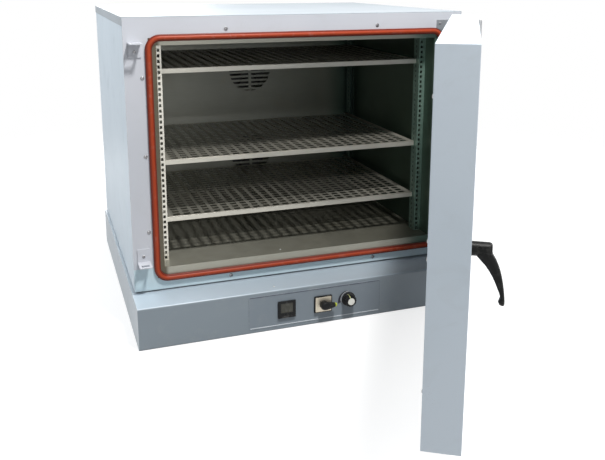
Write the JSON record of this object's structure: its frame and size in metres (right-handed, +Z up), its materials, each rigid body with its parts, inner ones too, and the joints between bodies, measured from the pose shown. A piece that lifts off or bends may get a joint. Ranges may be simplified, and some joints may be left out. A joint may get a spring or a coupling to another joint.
{
  "type": "dry heat sterilizer",
  "caption": "Bench dry heat oven on a control plinth, with a side-hinged latching door, sliding shelves and rear fans",
  "frame": {"origin": "centre of the plinth's underside", "axes": "+Z up, -Y out of the front, +X to the right of a person who faces the door"},
  "size_m": [1.019, 1.8092, 0.883],
  "materials": {
    "pale_paint": "satin powder coat",
    "white_paint": "satin powder coat",
    "plinth_paint": "satin powder coat",
    "panel_paint": "satin film",
    "stainless": "brushed",
    "zinc_steel": "zinc plated",
    "hinge_steel": "dull plated",
    "silicone": "matte",
    "mineral_wool": "rough",
    "black_plastic": "satin",
    "gloss_black": "gloss",
    "lever_tip": "gloss",
    "print_ink": "printed",
    "aluminium": "satin",
    "cast_case": "cast",
    "terminal_ceramic": "matte"
  },
  "bodies": {
    "cabinet": {"base_plinth": "plinth_paint", "base_bottom_plate": "zinc_steel", "cabinet_bottom_panel": "zinc_steel", "left_side_panel": "pale_paint", "right_side_panel": "pale_paint", "rear_panel": "pale_paint", "top_cover": "white_paint", "front_top_strip": "pale_paint", "front_bottom_strip": "pale_paint", "front_left_strip": "pale_paint", "front_right_strip": "pale_paint", "motor_bulkhead": "zinc_steel", "insulation_boards": "mineral_wool", "chamber_liner": "stainless", "door_seal": "silicone", "rear_baffle": "stainless", "front_shelf_rails": "stainless", "rear_shelf_rails": "stainless", "shelf_runners": "stainless", "upper_fan_motor": "cast_case", "lower_fan_motor": "cast_case", "heater_coils": "stainless", "temperature_sensor": "stainless", "upper_hinge_bracket": "hinge_steel", "lower_hinge_bracket": "hinge_steel", "hinge_pins": "zinc_steel", "latch_keepers": "pale_paint", "frame_screws": "zinc_steel", "bracket_screws": "zinc_steel", "panel_screws": "zinc_steel", "control_panel": "panel_paint", "controller_case": "black_plastic", "controller_bezel": "black_plastic", "controller_lens": "gloss_black", "switch_body": "black_plastic", "switch_plate": "black_plastic", "thermostat_body": "zinc_steel", "knob_scale": "print_ink", "power_relay": "black_plastic", "terminal_block": "terminal_ceramic", "cable_gland": "black_plastic"},
    "door": {"door_outer_shell": "pale_paint", "door_inner_panel": "white_paint", "door_insulation": "mineral_wool", "door_hinge_leaves": "hinge_steel", "latch_case": "zinc_steel", "door_screws": "zinc_steel"},
    "handle": {"door_handle": "gloss_black", "latch_spindle": "zinc_steel"},
    "upper_rod": {"upper_latch_rod": "zinc_steel"},
    "lower_rod": {"lower_latch_rod": "zinc_steel"},
    "top_shelf": {"top_shelf": "stainless"},
    "middle_shelf": {"middle_shelf": "stainless"},
    "bottom_shelf": {"bottom_shelf": "stainless"},
    "upper_fan": {"upper_fan": "aluminium"},
    "lower_fan": {"lower_fan": "aluminium"},
    "switch": {"switch_handle": "black_plastic", "switch_pointer": "lever_tip"},
    "knob": {"thermostat_knob": "black_plastic", "knob_cap": "aluminium"}
  },
  "joints": [
    {"name": "door_hinge", "type": "hinge", "parent": "cabinet", "child": "door", "pos_m": [0.506, -0.4545, 0.501], "axis": [0, 0, 1], "range_deg": [-58.2, 91.8]},
    {"name": "handle_turn", "type": "hinge", "parent": "door", "child": "handle", "pos_m": [-0.01256, -1.28136, 0.517], "axis": [0.8499, -0.527, 0], "range_deg": [0, 90]},
    {"name": "upper_rod_slide", "type": "slide", "parent": "door", "child": "upper_rod", "axis": [0, 0, 1], "range_m": [0, 0.015]},
    {"name": "lower_rod_slide", "type": "slide", "parent": "door", "child": "lower_rod", "axis": [0, 0, -1], "range_m": [0, 0.015]},
    {"name": "top_shelf_slide", "type": "slide", "parent": "cabinet", "child": "top_shelf", "axis": [0, -1, 0], "range_m": [0, 0.17]},
    {"name": "middle_shelf_slide", "type": "slide", "parent": "cabinet", "child": "middle_shelf", "axis": [0, -1, 0], "range_m": [0, 0.17]},
    {"name": "bottom_shelf_slide", "type": "slide", "parent": "cabinet", "child": "bottom_shelf", "axis": [0, -1, 0], "range_m": [0, 0.17]},
    {"name": "upper_fan_spin", "type": "hinge", "parent": "cabinet", "child": "upper_fan", "pos_m": [0.018, 0.3425, 0.652], "axis": [0, -1, 0], "continuous": true},
    {"name": "lower_fan_spin", "type": "hinge", "parent": "cabinet", "child": "lower_fan", "pos_m": [0.018, 0.3425, 0.346], "axis": [0, -1, 0], "continuous": true},
    {"name": "switch_turn", "type": "hinge", "parent": "cabinet", "child": "switch", "pos_m": [0.02, -0.4675, 0.061], "axis": [0, -1, 0], "range_deg": [0, 90]},
    {"name": "knob_turn", "type": "hinge", "parent": "cabinet", "child": "knob", "pos_m": [0.099, -0.4675, 0.065], "axis": [0, -1, 0], "range_deg": [-150, 150]}
  ],
  "couplings": [
    {"joint": "upper_rod_slide", "follows": "handle_turn", "m_per_rad": 0.00954},
    {"joint": "lower_rod_slide", "follows": "handle_turn", "m_per_rad": 0.00954}
  ]
}
